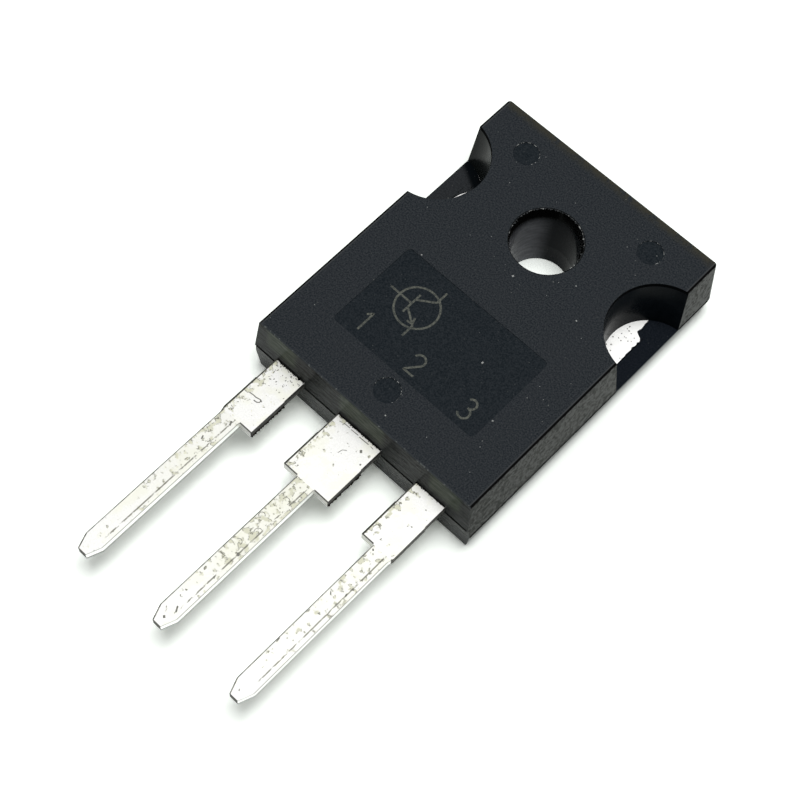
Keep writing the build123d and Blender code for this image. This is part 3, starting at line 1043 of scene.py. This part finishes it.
def numeral(digit, left, foot, height=1.25):
    """The strokes of 1, 2 or 3 in a round hand, drawn in a box 0.6 wide and 1 high, then scaled."""
    bowl = 0.27
    if digit == 1:
        paths = [[(0.12, 0.78), (0.33, 1.0), (0.33, 0.0)]]
    elif digit == 2:
        paths = [np.concatenate([arc((0.3, 1 - bowl), bowl, 170, -35), [(0.05, 0.0), (0.6, 0.0)]])]
    else:
        paths = [arc((0.3, 0.5 + bowl), 0.5 - bowl, 150, -95), arc((0.3, bowl), bowl, 95, -150)]
    return [np.asarray(path) * height + (left, foot) for path in paths]


def transistor_sign(x, y):
    """General sign: a ring, the base bar with its line, and two slanted lines, one an arrow."""
    ring = 1.25
    bar, slant, out = -0.4, 0.3, 0.55
    paths = [arc((0, 0), ring, 0, 360, 60), [(bar, -0.7), (bar, 0.7)], [(-1.9, 0), (bar, 0)]]
    paths += [[(bar, slant), (out, 0.95), (out, 1.75)], [(bar, -slant), (out, -0.95), (out, -1.75)]]
    paths += [[(0.12, -0.92), (out - 0.08, -0.88), (0.33, -0.52)]]
    return [np.asarray(path) + (x, y) for path in paths]


def field_marks():
    """The sign and the lead numbers; each stroke has its own height, so that crossings are clean."""
    field_floor = TOP_FACE - 0.03
    width, low, high, apart = 0.12, field_floor - 0.002, field_floor + 0.003, 0.0006
    paths = transistor_sign(-2.2, -7.85)
    for digit, x in ((1, -4.0), (2, -0.35), (3, 3.3)):
        paths += numeral(digit, x, -10.95)
    return [stroke(path, width, low, high + place * apart) for place, path in enumerate(paths)]


add_piece("field_marks", field_marks(), burnt_epoxy())


# ---- Burrs where the tie bars were cut ----------------------------------------------------------
# The trim punch shears the copper tie bars off the shoulders from above.  The sheared sides end in
# a ragged burr along their lower edge, as dark as the raw copper above it.

def sheared_copper():
    """Raw copper, nearly black with grime, with browner patches."""
    material, tree = new_material("sheared_copper")
    place = millimetres(tree)
    grain = noise(tree, place, 8, 3, 0.6)
    colour = mix(tree, between(tree, grain, 0.4, 0.7), (0.002, 0.002, 0.002), (0.05, 0.042, 0.034))
    finish(tree, colour, blend(tree, grain, 0.6, 0.85), product(tree, grain, 0.006), gloss=0.05)
    return material


def trim_burrs():
    """On each trimmed side a ridge like the parting line's, but upright and up to 0.08 mm proud."""
    rng = np.random.default_rng(37)
    near, far, underside = TRIM_START - 0.03, SHOULDER_END + 0.06, LEAD_TOP - 0.6
    runs = [((x, far), (x, near)) for x in (-4.02, 1.58)]
    runs += [((x, near), (x, far)) for x in (-1.58, 4.02)]
    return [parting_ridge(*run, underside, 0, rng, least=0.0, spread=0.08) for run in runs]


add_piece("trim_burrs", trim_burrs(), sheared_copper())


# ---- Scuffs on the leads -----------------------------------------------------------------------
# The strip feeder, the trim tool and handling left small dark scratches and bits of epoxy on the
# tin, and dried flux left rings on the middle lead.  Epoxy specks lie on the right notch's metal.

def lead_grime():
    """Dark grey-brown dirt in a scratch, a ring or a speck, paler in places."""
    material, tree = new_material("lead_grime")
    place = millimetres(tree)
    grain = noise(tree, place, 10, 3, 0.7)
    colour = mix(tree, between(tree, grain, 0.35, 0.65), (0.02, 0.02, 0.017), (0.22, 0.22, 0.19))
    finish(tree, colour, blend(tree, grain, 0.4, 0.7), product(tree, grain, 0.004), metallic=0.3)
    return material


def pepper(rng, places, largest, stretch, face):
    """Flecks of dirt at their places on a face at that height, each of a seeded size and turn.

    A fleck is as wide as stretch times its size.
    """
    sheets = []
    for x, y in places:
        size = rng.uniform(0.02, largest)
        tilt = rng.uniform(0, pi)
        sheets.append(fleck(x, y, size, tilt, size * stretch, face - 0.002, face + 0.002))
    return sheets


def lead_scuffs():
    """Scratches and ring stains at their places, then seeded pepper.

    The pepper lies by the first lead's root and on the right notch's bare metal.
    """
    low, high = LEAD_TOP - 0.002, LEAD_TOP + 0.002
    scratches = [
        ([(-5.73, -16.88), (-5.5, -16.84), (-5.3, -16.85), (-5.0, -16.78), (-4.86, -16.84)], 0.06),
        ([(-5.25, -17.04), (-5.05, -17.03), (-4.93, -16.93), (-4.95, -16.78)], 0.06),
        ([(-0.9, -14.68), (-0.5, -14.67)], 0.045), ([(-0.4, -14.69), (0.1, -14.67)], 0.04),
        ([(0.2, -14.70), (0.85, -14.68)], 0.05), ([(1.0, -14.68), (1.2, -14.7)], 0.035),
        ([(0.78, -15.17), (0.90, -15.30)], 0.13), ([(1.3, -15.76), (1.36, -15.83)], 0.09),
        ([(0.02, -16.12), (0.07, -15.85), (0.27, -15.7)], 0.035),
        (arc((0.01, -19.91), 0.2, -30, 190), 0.03), (arc((-0.33, -21.31), 0.17, 20, 250), 0.035),
        (arc((0.2, -22.1), 0.22, 60, 230), 0.03), (arc((-0.15, -23.15), 0.18, -20, 160), 0.035),
        ([(0.26, -23.6), (0.4, -23.72)], 0.12), ([(0.3, -25.3), (0.38, -25.4)], 0.09),
        ([(0.12, -27.65), (0.3, -27.95)], 0.09), ([(-0.02, -28.45), (0.1, -28.55)], 0.12),
        ([(5.0, -18.68), (5.1, -18.76)], 0.08), ([(5.05, -21.8), (5.2, -21.95)], 0.06),
        ([(5.72, -21.35), (5.8, -21.5)], 0.07), ([(5.36, -28.5), (5.44, -28.6)], 0.06),
        ([(4.93, -25.3), (4.97, -25.55)], 0.07), ([(-5.2, -18.7), (-5.1, -18.95)], 0.1),
        ([(-5.68, -20.3), (-5.6, -20.5)], 0.08)]
    sheets = [stroke(path, width, low, high) for path, width in scratches]
    rng = np.random.default_rng(21)
    by_root = zip(rng.uniform(-6.0, -4.1, 46), BODY_END - rng.gamma(1.6, 0.42, 46))
    sheets += pepper(rng, by_root, 0.055, 1.0, LEAD_TOP)
    in_notch = [(5.92, 0.72), (6.42, 0.58), *rng.uniform((5.7, -0.1), (6.5, 1.3), (9, 2))]
    return sheets + pepper(rng, in_notch, 0.045, 1.5, HEADER_TOP)


add_piece("lead_scuffs", lead_scuffs(), lead_grime())
